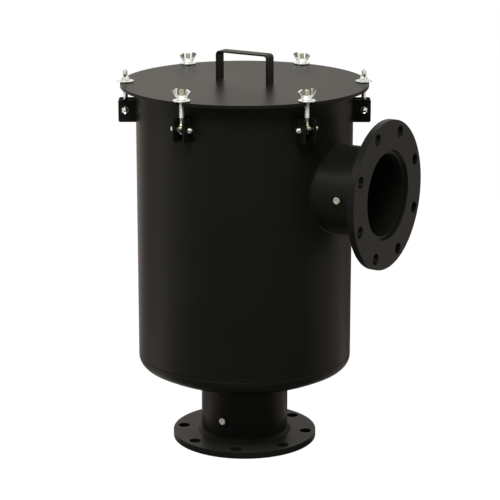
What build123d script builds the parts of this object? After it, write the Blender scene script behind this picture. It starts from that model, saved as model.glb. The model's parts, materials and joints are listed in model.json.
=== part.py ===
from build123d import *
import os
from math import atan2, cos, degrees, radians, sin, sqrt

# Industrial vacuum filter in millimetres. The origin is the centre of the outlet flange's
# face, +Z runs up the vessel's axis and +X points along the inlet pipe.

# Pipe connections
pipe_od = 168.3
pipe_wall = 7.1
flange_od = 279.4
flange_thickness = 12.7
flange_bolt_hole = 22.2
flange_bolt_edge = 7.95  # metal between a bolt hole and the flange's rim
flange_bolt_count = 8
pipe_recess = 6.0  # from the flange's face back to the end of the pipe
flange_weld_leg = 6.0
inlet_height = 521.5
inlet_reach = 305.0

# Vessel
shell_od = 411.2
shell_wall = 3.4
shell_length = 516.0
seam_height = 176.0  # where the shell meets the dished head
seam_chamfer = 1.0
head_wall = 3.4
dish_radius = 430.0
knuckle_radius = 20.5
straight_flange = 4.5
rim_width = 19.0
rim_thickness = 9.5

# Lid
lid_thickness = 6.35
gasket_thickness = 6.0
gasket_width = 22.0
notch_gap = 1.5  # between a swing bolt and each side of its notch
handle_length = 112.0
handle_height = 57.0
handle_width = 25.4
handle_strap = 3.2
handle_bend = 8.0

# Swing clamps
clamp_count = 6
first_clamp_angle = 30.0
clamp_reach = 19.4  # from the shell's side out to each swing bolt
lid_margin = 9.7  # from each swing bolt out to the lid's edge
pin_drop = 51.0  # from the lid's top down to the pivot
pin_diameter = 8.0
lug_gap = 19.0
lug_thickness = 3.2
lug_height = 43.5
lug_rise = 19.6  # from the pivot up to the lug's top
lug_edge = 13.3  # from the pivot out to the lug's edge
lug_corner = 3.5
cap_nut_flats = 12.7
cap_nut_hex = 5.0
cap_nut_dome = 5.2
swing_bolt_diameter = 9.5
swing_bolt_proud = 21.4  # above the lid's top
eye_od = 19.0
eye_chamfer = 1.2
bolt_tip_chamfer = 1.0
washer_od = 32.0
washer_thickness = 2.0
washer_gap = 0.4  # between a swing bolt and its washer's bore

# Wing nuts
nut_hub_base = 18.5
nut_hub_top = 13.0
nut_hub_height = 9.5
nut_wing_span = 40.6
nut_wing_height = 20.1
nut_wing_width = 9.6
nut_wing_thickness = 4.0
nut_wing_corner = 1.8
nut_wing_lean = 22.0  # degrees that the wings' tops slope down towards their tips

# Gauge ports
gauge_port_setback = 61.8  # along the inlet pipe, back from the flange's face
gauge_port_height = 52.3  # up the outlet pipe from the flange's face
boss_od = 22.0
boss_proud = 3.0
boss_inside = 1.5
plug_diameter = 14.0
plug_length = 11.0
plug_proud = 0.8
plug_dimple_diameter = 6.0
plug_dimple_depth = 0.8

# Filter element and what holds it
seat_height = 195.0
seat_margin = 3.0  # from the element's cap out to the seat plate's edge
seat_thickness = 4.8
element_height = 368.0
element_gasket_thickness = 10.0
element_gasket_width = 30.0
cap_od = 300.0
cap_sheet = 1.5
cap_rim = 14.0
cage_sheet = 1.0
cage_gap = 0.5  # between the outer cage and the end caps' rims
inner_cage_bore = 206.0
outer_window_columns = 24
outer_window_rows = 7
outer_window_width = 26.0
inner_window_columns = 16
inner_window_rows = 7
inner_window_width = 26.0
window_height = 34.0
pleat_count = 72
pleat_fold = 6.0  # radial depth of the paper's own thickness at each fold
spider_bar = 6.35
spider_height = 25.0
spider_hub_od = 30.0
tie_rod_diameter = 12.7
tie_rod_below = 16.0  # under the spider
tie_rod_proud = 48.0  # above the element
tie_rod_nut_flats = 19.0
tie_rod_nut_height = 9.0
hold_washer_od = 50.0
hold_washer_thickness = 5.0
hold_nut_scale = 1.3  # the hold-down wing nut against the clamps' wing nuts

# Clearances
weld_gap = 0.1
shaft_gap = 0.08
thread_gap = 0.1
rest_gap = 0.3
edge_gap = 0.2
swing_gap = 0.04

# Derived places
pipe_radius = pipe_od / 2
flange_bolt_circle = flange_od - flange_bolt_hole - 2 * flange_bolt_edge
pipe_bore_radius = pipe_radius - pipe_wall
shell_radius = shell_od / 2
shell_inside = shell_radius - shell_wall
clamp_radius = shell_radius + clamp_reach
lid_radius = clamp_radius + lid_margin
rim_height = seam_height + shell_length
lid_underside = rim_height + gasket_thickness
lid_top = lid_underside + lid_thickness
pin_height = lid_top - pin_drop
lug_half = lug_gap / 2 + lug_thickness
# A washer clears the lid's edge as its bolt swings out once it is backed off by this much
swing_rise = sqrt(pin_drop**2 + lid_margin**2) - pin_drop
washer_base = lid_top + swing_rise + swing_gap
washer_top = washer_base + washer_thickness
seat_underside = seat_height - seat_thickness
element_base = seat_height + element_gasket_thickness
element_top = seat_height + element_height
media_base = element_base + cap_sheet
media_height = element_top - cap_sheet - media_base
inlet_axis = Plane(origin=(0, 0, inlet_height), x_dir=(0, 1, 0), z_dir=(1, 0, 0))
outlet_face = Plane.XY
inlet_face = Plane(origin=(inlet_reach, 0, inlet_height), x_dir=(0, 1, 0), z_dir=(-1, 0, 0))
port_radius = pipe_radius + boss_proud
outlet_port = Plane(origin=(0, -port_radius, gauge_port_height), x_dir=(1, 0, 0), z_dir=(0, 1, 0))
inlet_port = Plane(
    origin=(inlet_reach - gauge_port_setback, -port_radius, inlet_height),
    x_dir=(1, 0, 0),
    z_dir=(0, 1, 0),
)
clamp_angles = [first_clamp_angle + 360 / clamp_count * k for k in range(clamp_count)]

os.makedirs("parts", exist_ok=True)


# Shell, open at the top, with the hole that the inlet pipe passes through
with BuildPart() as shell:
    with BuildSketch(Plane.XY.offset(seam_height)):
        Circle(shell_radius)
        Circle(shell_inside, mode=Mode.SUBTRACT)
    extrude(amount=shell_length)
    bottom_edges = shell.edges().filter_by(GeomType.CIRCLE).group_by(Axis.Z)[0]
    chamfer(bottom_edges.sort_by(SortBy.RADIUS)[-1], seam_chamfer)
    with BuildSketch(inlet_axis):
        Circle(pipe_radius + weld_gap)
    extrude(amount=shell_od, mode=Mode.SUBTRACT)
shell.part.label = "shell"
export_step(shell.part, "parts/shell.step")


# Dished bottom head: a short straight flange, a knuckle and a shallow dish
knuckle_height = seam_height - straight_flange
knuckle_centre = shell_radius - knuckle_radius
dish_centre = knuckle_height + sqrt((dish_radius - knuckle_radius) ** 2 - knuckle_centre**2)
dish_angle = degrees(atan2(knuckle_height - dish_centre, knuckle_centre))
head_floor = dish_centre - dish_radius
with BuildPart() as bottom_head:
    with BuildSketch(Plane.XZ):
        with BuildLine():
            outer_wall = Line((shell_radius, seam_height), (shell_radius, knuckle_height))
            outer_knuckle = CenterArc(
                (knuckle_centre, knuckle_height), knuckle_radius, 0, dish_angle
            )
            outer_dish = CenterArc((0, dish_centre), dish_radius, dish_angle, -90 - dish_angle)
            floor_edge = Line(outer_dish @ 1, (0, head_floor + head_wall))
            inner_dish = CenterArc((0, dish_centre), dish_radius - head_wall, -90, 90 + dish_angle)
            inner_knuckle = CenterArc(
                (knuckle_centre, knuckle_height), knuckle_radius - head_wall, dish_angle, -dish_angle
            )
            inner_wall = Line(inner_knuckle @ 1, (shell_radius - head_wall, seam_height))
            Line(inner_wall @ 1, outer_wall @ 0)
        make_face()
    revolve(axis=Axis.Z)
    with BuildSketch():
        Circle(pipe_radius + weld_gap)
    extrude(amount=seam_height, mode=Mode.SUBTRACT)
    top_edges = bottom_head.edges().filter_by(GeomType.CIRCLE).group_by(Axis.Z)[-1]
    chamfer(top_edges.sort_by(SortBy.RADIUS)[-1], seam_chamfer)
bottom_head.part.label = "bottom_head"
export_step(bottom_head.part, "parts/bottom_head.step")


# Flat ring inside the shell's mouth, which the gasket closes on
with BuildPart() as rim_ring:
    with BuildSketch(Plane.XY.offset(rim_height - rim_thickness)):
        Circle(shell_inside - weld_gap)
        Circle(shell_inside - rim_width, mode=Mode.SUBTRACT)
    extrude(amount=rim_thickness)
rim_ring.part.label = "rim_ring"
export_step(rim_ring.part, "parts/rim_ring.step")


# Pipes: the outlet runs up through the head to the element's seat, the inlet ends flush
# with the shell's inside, and each has a hole for its gauge boss
with BuildPart() as outlet_pipe:
    with BuildSketch(Plane.XY.offset(pipe_recess)):
        Circle(pipe_radius)
        Circle(pipe_bore_radius, mode=Mode.SUBTRACT)
    extrude(amount=seat_underside - pipe_recess)
    with BuildSketch(outlet_port):
        Circle(boss_od / 2 + weld_gap)
    extrude(amount=port_radius, mode=Mode.SUBTRACT)
outlet_pipe.part.label = "outlet_pipe"
export_step(outlet_pipe.part, "parts/outlet_pipe.step")

with BuildPart() as inlet_pipe:
    with BuildSketch(inlet_axis):
        Circle(pipe_radius)
        Circle(pipe_bore_radius, mode=Mode.SUBTRACT)
    extrude(amount=inlet_reach - pipe_recess)
    with BuildSketch(Plane.XY.offset(seam_height)):
        Circle(shell_inside)
    extrude(amount=shell_length, mode=Mode.SUBTRACT)
    with BuildSketch(inlet_port):
        Circle(boss_od / 2 + weld_gap)
    extrude(amount=port_radius, mode=Mode.SUBTRACT)
inlet_pipe.part.label = "inlet_pipe"
export_step(inlet_pipe.part, "parts/inlet_pipe.step")


# Slip-on plate flange with the fillet weld at its back, drawn on its gasket face
def plate_flange(face):
    bore_radius = pipe_radius + weld_gap
    section = Plane(origin=face.origin, x_dir=face.x_dir, z_dir=-face.y_dir)
    with BuildPart() as flange:
        with BuildSketch(face):
            Circle(flange_od / 2)
            Circle(bore_radius, mode=Mode.SUBTRACT)
            with PolarLocations(flange_bolt_circle / 2, flange_bolt_count, 180 / flange_bolt_count):
                Circle(flange_bolt_hole / 2, mode=Mode.SUBTRACT)
        extrude(amount=flange_thickness)
        with BuildSketch(section):
            with BuildLine():
                Polyline(
                    (bore_radius, flange_thickness),
                    (bore_radius + flange_weld_leg, flange_thickness),
                    (bore_radius, flange_thickness + flange_weld_leg),
                    close=True,
                )
            make_face()
        revolve(axis=Axis(face.origin, face.z_dir))
    return flange.part


outlet_flange = plate_flange(outlet_face)
outlet_flange.label = "outlet_flange"
export_step(outlet_flange, "parts/outlet_flange.step")

inlet_flange = plate_flange(inlet_face)
inlet_flange.label = "inlet_flange"
export_step(inlet_flange, "parts/inlet_flange.step")


# Gauge bosses and the plugs screwed into them, one on each pipe
boss_length = boss_proud + pipe_wall + boss_inside
with BuildPart() as gauge_bosses:
    with BuildSketch(outlet_port, inlet_port):
        Circle(boss_od / 2)
        Circle(plug_diameter / 2 + thread_gap, mode=Mode.SUBTRACT)
    extrude(amount=boss_length)
gauge_bosses.part.label = "gauge_bosses"
export_step(gauge_bosses.part, "parts/gauge_bosses.step")

with BuildPart() as gauge_plugs:
    with BuildSketch(outlet_port.offset(-plug_proud), inlet_port.offset(-plug_proud)):
        Circle(plug_diameter / 2)
    extrude(amount=plug_length)
    with BuildSketch(outlet_port.offset(-plug_proud), inlet_port.offset(-plug_proud)):
        Circle(plug_dimple_diameter / 2)
    extrude(amount=plug_dimple_depth, mode=Mode.SUBTRACT)
gauge_plugs.part.label = "gauge_plugs"
export_step(gauge_plugs.part, "parts/gauge_plugs.step")


# Clamp lugs: two plates for each swing bolt, welded to the shell under the lid's rim
lug_outer = clamp_radius + lug_edge
lug_depth = lug_outer - shell_radius
with BuildPart() as lug_pair:
    with BuildSketch(Plane.XZ) as lug_profile:
        with Locations((lug_outer, pin_height + lug_rise)):
            Rectangle(lug_depth + shell_wall, lug_height, align=(Align.MAX, Align.MAX))
        outer_corners = lug_profile.vertices().group_by(Axis.X)[-1]
        fillet(outer_corners, lug_corner)
        with Locations((clamp_radius, pin_height)):
            Circle(pin_diameter / 2 + shaft_gap, mode=Mode.SUBTRACT)
    extrude(amount=lug_half, both=True)
    with BuildSketch(Plane.XZ):
        with Locations((lug_outer, pin_height)):
            Rectangle(2 * lug_outer, 2 * lug_height)
    extrude(amount=lug_gap / 2, both=True, mode=Mode.SUBTRACT)
    with BuildSketch(Plane.XY.offset(seam_height)):
        Circle(shell_radius)
    extrude(amount=shell_length, mode=Mode.SUBTRACT)

with BuildPart() as clamp_lugs:
    with PolarLocations(0, clamp_count, first_clamp_angle):
        add(lug_pair.part)
clamp_lugs.part.label = "clamp_lugs"
export_step(clamp_lugs.part, "parts/clamp_lugs.step")


# Pivot studs through the lugs, closed by a cap nut at each end
stud_half = lug_half + cap_nut_hex
pivot_plane = Plane(origin=(clamp_radius, 0, pin_height), x_dir=(1, 0, 0), z_dir=(0, 1, 0))
nut_seat = pivot_plane.offset(lug_half)
with BuildPart() as one_stud:
    with BuildSketch(pivot_plane):
        Circle(pin_diameter / 2)
    extrude(amount=stud_half, both=True)

with BuildPart() as pivot_studs:
    with PolarLocations(0, clamp_count, first_clamp_angle):
        add(one_stud.part)
pivot_studs.part.label = "pivot_studs"
export_step(pivot_studs.part, "parts/pivot_studs.step")

cap_radius = cap_nut_flats / 2
with BuildPart() as cap_nut_pair:
    with BuildSketch(nut_seat):
        RegularPolygon(cap_radius, 6, major_radius=False, rotation=30)
    extrude(amount=cap_nut_hex)
    dome_section = Plane(origin=nut_seat.origin, x_dir=nut_seat.x_dir, z_dir=-nut_seat.y_dir)
    with BuildSketch(dome_section):
        with BuildLine():
            dome_edge = EllipticalCenterArc(
                (0, cap_nut_hex), cap_radius, cap_nut_dome, arc_size=90
            )
            Polyline(dome_edge @ 1, (0, cap_nut_hex), dome_edge @ 0)
        make_face()
    revolve(axis=Axis(nut_seat.origin, nut_seat.z_dir))
    with BuildSketch(nut_seat):
        Circle(pin_diameter / 2 + thread_gap)
    extrude(amount=cap_nut_hex + thread_gap, mode=Mode.SUBTRACT)
    mirror(about=Plane.XZ)

with BuildPart() as cap_nuts:
    with PolarLocations(0, clamp_count, first_clamp_angle):
        add(cap_nut_pair.part)
cap_nuts.part.label = "cap_nuts"
export_step(cap_nuts.part, "parts/cap_nuts.step")


# Wing nut at the origin, its bore along Z and its wings along Y; size scales all but the bore
def wing_nut(bore_radius, size):
    wing_lean = radians(nut_wing_lean)
    wing_reach = size * nut_wing_span / 2
    wing_top = size * nut_wing_height
    wing_width = size * nut_wing_width
    hub_height = size * nut_hub_height
    outer_tip = (wing_reach, wing_top - wing_width * sin(wing_lean))
    inner_tip = (wing_reach - wing_width * cos(wing_lean), wing_top)
    with BuildPart() as nut:
        with BuildSketch(Plane.XY):
            Circle(size * nut_hub_base / 2)
        with BuildSketch(Plane.XY.offset(hub_height)):
            Circle(size * nut_hub_top / 2)
        loft()
        with BuildSketch(Plane.YZ) as wings:
            with BuildLine():
                Polyline(
                    (0, hub_height / 4),
                    (size * nut_hub_base / 2, hub_height / 3),
                    outer_tip,
                    inner_tip,
                    (size * nut_hub_top / 2, hub_height),
                    (0, hub_height),
                    close=True,
                )
            make_face()
            fillet(wings.vertices().sort_by(Axis.Y)[-2:], size * nut_wing_corner)
            mirror(about=Plane.YZ)
        extrude(amount=size * nut_wing_thickness / 2, both=True)
        with BuildSketch(Plane.XY):
            Circle(bore_radius)
        extrude(amount=wing_top, mode=Mode.SUBTRACT)
    return nut.part


# One swing bolt, washer and wing nut on +X, then a named copy of each at every clamp
swing_bolt_radius = swing_bolt_diameter / 2
with BuildPart() as bolt_eye:
    with BuildSketch(pivot_plane):
        Circle(eye_od / 2)
    extrude(amount=swing_bolt_radius, both=True)
    chamfer(bolt_eye.edges().filter_by(GeomType.CIRCLE), eye_chamfer)

with BuildPart() as eye_bolt_shape:
    with BuildSketch(Plane.XY.offset(pin_height)):
        with Locations((clamp_radius, 0)):
            Circle(swing_bolt_radius)
    extrude(amount=pin_drop + swing_bolt_proud)
    tip = eye_bolt_shape.edges().filter_by(GeomType.CIRCLE).group_by(Axis.Z)[-1]
    chamfer(tip, bolt_tip_chamfer)
    add(bolt_eye.part)
    with BuildSketch(pivot_plane):
        Circle(pin_diameter / 2 + shaft_gap)
    extrude(amount=swing_bolt_diameter, both=True, mode=Mode.SUBTRACT)

with BuildPart() as clamp_washer_shape:
    with BuildSketch(Plane.XY.offset(washer_base)):
        with Locations((clamp_radius, 0)):
            Circle(washer_od / 2)
            Circle(swing_bolt_radius + washer_gap, mode=Mode.SUBTRACT)
    extrude(amount=washer_thickness)

clamp_nut = wing_nut(swing_bolt_radius + thread_gap, 1)
for number, angle in enumerate(clamp_angles, start=1):
    turn = Location((0, 0, 0), (0, 0, angle))
    with BuildPart() as eye_bolt:
        with Locations(turn):
            add(eye_bolt_shape.part)
    eye_bolt.part.label = f"eye_bolt_{number}"
    export_step(eye_bolt.part, f"parts/eye_bolt_{number}.step")
    with BuildPart() as clamp_washer:
        with Locations(turn):
            add(clamp_washer_shape.part)
    clamp_washer.part.label = f"clamp_washer_{number}"
    export_step(clamp_washer.part, f"parts/clamp_washer_{number}.step")
    with BuildPart() as clamp_wing_nut:
        with Locations(turn * Location((clamp_radius, 0, washer_top))):
            add(clamp_nut)
    clamp_wing_nut.part.label = f"wing_nut_{number}"
    export_step(clamp_wing_nut.part, f"parts/wing_nut_{number}.step")


# Lid plate with an open notch for each swing bolt
notch_half = swing_bolt_radius + notch_gap
with BuildPart() as lid_plate:
    with BuildSketch(Plane.XY.offset(lid_underside)):
        Circle(lid_radius)
        with PolarLocations(clamp_radius, clamp_count, first_clamp_angle):
            Circle(notch_half, mode=Mode.SUBTRACT)
            Rectangle(
                lid_radius, 2 * notch_half, align=(Align.MIN, Align.CENTER), mode=Mode.SUBTRACT
            )
    extrude(amount=lid_thickness)
lid_plate.part.label = "lid_plate"
export_step(lid_plate.part, "parts/lid_plate.step")

with BuildPart() as lid_gasket:
    with BuildSketch(Plane.XY.offset(rim_height)):
        Circle(shell_radius - edge_gap)
        Circle(shell_radius - gasket_width, mode=Mode.SUBTRACT)
    extrude(amount=gasket_thickness)
lid_gasket.part.label = "lid_gasket"
export_step(lid_gasket.part, "parts/lid_gasket.step")

# Handle: one strap bent twice and welded to the lid on edge
inner_length = handle_length - 2 * handle_strap
inner_height = handle_height - handle_strap
with BuildPart() as lid_handle:
    with BuildSketch(Plane.XZ):
        with Locations((0, lid_top)):
            RectangleRounded(handle_length, 2 * handle_height, handle_bend)
            RectangleRounded(
                inner_length, 2 * inner_height, handle_bend - handle_strap, mode=Mode.SUBTRACT
            )
            Rectangle(
                handle_length, handle_height, align=(Align.CENTER, Align.MAX), mode=Mode.SUBTRACT
            )
    extrude(amount=handle_width / 2, both=True)
lid_handle.part.label = "lid_handle"
export_step(lid_handle.part, "parts/lid_handle.step")


# Seat plate on top of the outlet pipe, and the spider across its opening
with BuildPart() as seat_plate:
    with BuildSketch(Plane.XY.offset(seat_underside)):
        Circle(cap_od / 2 + seat_margin)
        Circle(pipe_bore_radius, mode=Mode.SUBTRACT)
    extrude(amount=seat_thickness)
seat_plate.part.label = "seat_plate"
export_step(seat_plate.part, "parts/seat_plate.step")

with BuildPart() as spider:
    with BuildSketch(Plane.XY.offset(seat_height - spider_height)) as cross:
        Rectangle(2 * pipe_bore_radius, spider_bar)
        Rectangle(spider_bar, 2 * pipe_bore_radius)
        Circle(spider_hub_od / 2)
        Circle(pipe_bore_radius - weld_gap, mode=Mode.INTERSECT)
        Circle(tie_rod_diameter / 2 + thread_gap, mode=Mode.SUBTRACT)
    extrude(amount=spider_height)
spider.part.label = "spider"
export_step(spider.part, "parts/spider.step")

tie_rod_base = seat_height - spider_height - tie_rod_below
tie_rod_top = element_top + tie_rod_proud
with BuildPart() as tie_rod:
    with BuildSketch(Plane.XY.offset(tie_rod_base)):
        Circle(tie_rod_diameter / 2)
    extrude(amount=tie_rod_top - tie_rod_base)
    rod_ends = tie_rod.edges().filter_by(GeomType.CIRCLE)
    chamfer(rod_ends, bolt_tip_chamfer)
tie_rod.part.label = "tie_rod"
export_step(tie_rod.part, "parts/tie_rod.step")

# One nut under the spider and one on it lock the tie rod
with BuildPart() as tie_rod_nuts:
    lower_nut = Plane.XY.offset(seat_height - spider_height - tie_rod_nut_height)
    upper_nut = Plane.XY.offset(seat_height)
    with BuildSketch(lower_nut, upper_nut):
        RegularPolygon(tie_rod_nut_flats / 2, 6, major_radius=False)
        Circle(tie_rod_diameter / 2 + thread_gap, mode=Mode.SUBTRACT)
    extrude(amount=tie_rod_nut_height)
tie_rod_nuts.part.label = "tie_rod_nuts"
export_step(tie_rod_nuts.part, "parts/tie_rod_nuts.step")


# Filter element: gasket, end caps, two perforated cages and the pleated paper between them
outer_cage_radius = cap_od / 2 - cap_sheet - cage_gap
inner_cage_radius = inner_cage_bore / 2 + cage_sheet
gasket_middle = (outer_cage_radius + inner_cage_radius) / 2
with BuildPart() as element_gasket:
    with BuildSketch(Plane.XY.offset(seat_height)):
        Circle(gasket_middle + element_gasket_width / 2)
        Circle(gasket_middle - element_gasket_width / 2, mode=Mode.SUBTRACT)
    extrude(amount=element_gasket_thickness)
element_gasket.part.label = "element_gasket"
export_step(element_gasket.part, "parts/element_gasket.step")

lower_cap_hole = inner_cage_bore / 2 - edge_gap - cap_sheet
with BuildPart() as lower_end_cap:
    with BuildSketch(Plane.XY.offset(element_base)):
        Circle(cap_od / 2)
        Circle(lower_cap_hole, mode=Mode.SUBTRACT)
    extrude(amount=cap_sheet)
    with BuildSketch(Plane.XY.offset(element_base)):
        Circle(cap_od / 2)
        Circle(cap_od / 2 - cap_sheet, mode=Mode.SUBTRACT)
        Circle(lower_cap_hole + cap_sheet)
        Circle(lower_cap_hole, mode=Mode.SUBTRACT)
    extrude(amount=cap_rim)
lower_end_cap.part.label = "lower_end_cap"
export_step(lower_end_cap.part, "parts/lower_end_cap.step")

with BuildPart() as upper_end_cap:
    with BuildSketch(Plane.XY.offset(element_top - cap_sheet)):
        Circle(cap_od / 2)
        Circle(tie_rod_diameter / 2 + edge_gap, mode=Mode.SUBTRACT)
    extrude(amount=cap_sheet)
    with BuildSketch(Plane.XY.offset(element_top - cap_rim)):
        Circle(cap_od / 2)
        Circle(cap_od / 2 - cap_sheet, mode=Mode.SUBTRACT)
    extrude(amount=cap_rim)
upper_end_cap.part.label = "upper_end_cap"
export_step(upper_end_cap.part, "parts/upper_end_cap.step")


# Perforated cage: a thin tube with rows of windows, each box cutting both sides
def cage(outside_radius, columns, rows, window_width):
    row_pitch = media_height / rows
    with BuildPart() as tube:
        with BuildSketch(Plane.XY.offset(media_base)):
            Circle(outside_radius)
            Circle(outside_radius - cage_sheet, mode=Mode.SUBTRACT)
        extrude(amount=media_height)
        for column in range(columns // 2):
            side = Plane.XZ.rotated((0, 0, 360 / columns * column))
            with BuildSketch(side):
                with Locations((0, media_base + media_height / 2)):
                    with GridLocations(0, row_pitch, 1, rows):
                        Rectangle(window_width, window_height)
            extrude(amount=outside_radius + cage_sheet, both=True, mode=Mode.SUBTRACT)
    return tube.part


outer_cage = cage(outer_cage_radius, outer_window_columns, outer_window_rows, outer_window_width)
outer_cage.label = "outer_cage"
export_step(outer_cage, "parts/outer_cage.step")

inner_cage = cage(inner_cage_radius, inner_window_columns, inner_window_rows, inner_window_width)
inner_cage.label = "inner_cage"
export_step(inner_cage, "parts/inner_cage.step")

fold_outside = outer_cage_radius - cage_sheet - edge_gap
fold_inside = inner_cage_radius + edge_gap
half_pitch = 180 / pleat_count


# Closed zigzag with its folds at the two radii
def pleat_outline(tip_radius, valley_radius):
    points = []
    for fold in range(2 * pleat_count):
        radius = tip_radius if fold % 2 == 0 else valley_radius
        angle = radians(half_pitch * fold)
        points.append((radius * cos(angle), radius * sin(angle)))
    return points


with BuildPart() as pleated_media:
    with BuildSketch(Plane.XY.offset(media_base)):
        with BuildLine():
            Polyline(*pleat_outline(fold_outside, fold_inside + pleat_fold), close=True)
        make_face()
        with BuildLine():
            Polyline(*pleat_outline(fold_outside - pleat_fold, fold_inside), close=True)
        make_face(mode=Mode.SUBTRACT)
    extrude(amount=media_height)
pleated_media.part.label = "pleated_media"
export_step(pleated_media.part, "parts/pleated_media.step")


# Rubber-faced washer and wing nut that hold the element down
with BuildPart() as hold_down_washer:
    with BuildSketch(Plane.XY.offset(element_top + rest_gap)):
        Circle(hold_washer_od / 2)
        Circle(tie_rod_diameter / 2 + edge_gap, mode=Mode.SUBTRACT)
    extrude(amount=hold_washer_thickness)
hold_down_washer.part.label = "hold_down_washer"
export_step(hold_down_washer.part, "parts/hold_down_washer.step")

with BuildPart() as hold_down_nut:
    with Locations((0, 0, element_top + rest_gap + hold_washer_thickness)):
        add(wing_nut(tie_rod_diameter / 2 + thread_gap, hold_nut_scale))
hold_down_nut.part.label = "hold_down_nut"
export_step(hold_down_nut.part, "parts/hold_down_nut.step")
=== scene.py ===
import json
from math import atan2, cos, pi, radians, sin, sqrt

import bmesh
import bpy
from mathutils import Matrix, Vector


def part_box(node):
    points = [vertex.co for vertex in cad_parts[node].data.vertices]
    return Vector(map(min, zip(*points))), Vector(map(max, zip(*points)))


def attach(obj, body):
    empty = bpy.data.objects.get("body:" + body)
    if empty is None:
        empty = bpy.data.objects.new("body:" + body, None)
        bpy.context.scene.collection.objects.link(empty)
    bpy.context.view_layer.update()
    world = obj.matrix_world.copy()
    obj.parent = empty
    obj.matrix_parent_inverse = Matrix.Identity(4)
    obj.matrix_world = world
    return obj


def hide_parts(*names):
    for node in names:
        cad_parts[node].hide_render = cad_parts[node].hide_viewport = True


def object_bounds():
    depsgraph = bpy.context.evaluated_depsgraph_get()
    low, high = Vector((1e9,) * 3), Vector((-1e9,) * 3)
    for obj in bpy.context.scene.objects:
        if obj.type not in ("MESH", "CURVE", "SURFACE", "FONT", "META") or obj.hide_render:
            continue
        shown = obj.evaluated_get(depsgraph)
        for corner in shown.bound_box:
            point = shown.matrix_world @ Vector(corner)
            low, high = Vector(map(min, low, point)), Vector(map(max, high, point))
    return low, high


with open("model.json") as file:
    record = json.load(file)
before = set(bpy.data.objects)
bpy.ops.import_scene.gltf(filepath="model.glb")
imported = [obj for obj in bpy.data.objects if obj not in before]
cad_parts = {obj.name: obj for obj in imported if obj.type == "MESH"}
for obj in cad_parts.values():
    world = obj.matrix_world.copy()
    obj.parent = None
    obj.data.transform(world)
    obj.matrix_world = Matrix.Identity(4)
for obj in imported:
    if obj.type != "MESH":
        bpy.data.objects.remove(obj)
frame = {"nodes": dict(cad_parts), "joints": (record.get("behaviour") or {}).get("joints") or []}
cadLow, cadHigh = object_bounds()
mm = 0.001
hair = 0.01 * mm  # how far apart two heights may be and still count as one
print("frame loaded,", len(frame["nodes"]), "nodes")


# Camera

def direction(azimuth, elevation):
    # the way from the middle to a place so many degrees round from the front and up
    turn, lift = radians(azimuth), radians(elevation)
    return Vector((sin(turn) * cos(lift), -cos(turn) * cos(lift), sin(lift)))


cameraSettings = {
    "lookAt": (0, 0, 0.36731),
    "distance": 3.94796,
    "azimuth": 30.17,  # degrees round from the front, towards the inlet
    "elevation": 15.251,
    "framePixels": 500,
    "focalPixels": 2046.5,
    "opticalAxisPixel": (244.57, 254.29),
    "sensorWidth": 36.0,
}


def placeCamera(settings):
    camera = bpy.data.cameras.new("photoCamera")
    pixels = settings["framePixels"]
    camera.sensor_width = settings["sensorWidth"]
    camera.lens = settings["focalPixels"] / pixels * settings["sensorWidth"]
    camera.shift_x = (pixels / 2 - settings["opticalAxisPixel"][0]) / pixels
    camera.shift_y = (settings["opticalAxisPixel"][1] - pixels / 2) / pixels
    stand = bpy.data.objects.new("photoCamera", camera)
    back = direction(settings["azimuth"], settings["elevation"])
    stand.location = Vector(settings["lookAt"]) + settings["distance"] * back
    stand.rotation_mode = "QUATERNION"
    stand.rotation_quaternion = (-back).to_track_quat("-Z", "Y")
    bpy.context.scene.collection.objects.link(stand)
    bpy.context.scene.camera = stand


placeCamera(cameraSettings)
print("camera placed")


# Shader helper: a Wire is an output socket, and sums on wires add Math nodes

class Wire:
    def __init__(self, tree, socket=None):
        self.tree = tree
        self.socket = socket

    def node(self, kind, settings=None, sockets=None, output=0):
        made = self.tree.nodes.new(kind)
        for name, value in (settings or {}).items():
            if name == "stops":
                self.setStops(made.color_ramp, value)
            else:
                setattr(made, name, value)
        for name, value in (sockets or {}).items():
            if isinstance(value, Wire):
                self.tree.links.new(value.socket, made.inputs[name])
            else:
                made.inputs[name].default_value = value
        return Wire(self.tree, made.outputs[output] if made.outputs else None)

    def parts(self):
        made = self.tree.nodes.new("ShaderNodeSeparateXYZ")
        self.tree.links.new(self.socket, made.inputs[0])
        return [Wire(self.tree, output) for output in made.outputs]

    def setStops(self, ramp, stops):
        while len(ramp.elements) < len(stops):
            ramp.elements.new(0.5)
        for element, (place, shade) in zip(ramp.elements, stops):
            element.position = place
            element.color = (shade, shade, shade, 1)

    def sum(self, operation, first, second):
        return self.node("ShaderNodeMath", {"operation": operation}, {0: first, 1: second})

    def __add__(self, other):
        return self.sum("ADD", self, other)

    def __radd__(self, other):
        return self.sum("ADD", other, self)

    def __sub__(self, other):
        return self.sum("SUBTRACT", self, other)

    def __rsub__(self, other):
        return self.sum("SUBTRACT", other, self)

    def __mul__(self, other):
        return self.sum("MULTIPLY", self, other)

    def __rmul__(self, other):
        return self.sum("MULTIPLY", other, self)

    def atMost(self, other):
        return self.sum("MINIMUM", self, other)

    def atLeast(self, other):
        return self.sum("MAXIMUM", self, other)


def noiseOn(coords, scale, detail=2.0, roughness=0.5):
    sockets = {"Vector": coords, "Scale": scale, "Detail": detail, "Roughness": roughness}
    return coords.node("ShaderNodeTexNoise", {}, sockets)


def blend(wire, mask, first, second):
    # a colour between two, each of them a wire or a plain colour; mask runs from 0 to 1
    first, second = (colour if isinstance(colour, Wire) else (*colour, 1) for colour in (first, second))
    return wire.node("ShaderNodeMix", {"data_type": "RGBA"}, {0: mask, 6: first, 7: second}, output=2)


def mapped(wire, ends, shades=(0, 1), interpolation="LINEAR"):
    # the wire's value carried from one range to another, and held at its ends
    low, high = ends
    sockets = {"Value": wire, "From Min": low, "From Max": high, "To Min": shades[0], "To Max": shades[1]}
    return wire.node("ShaderNodeMapRange", {"interpolation_type": interpolation}, sockets)


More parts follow.
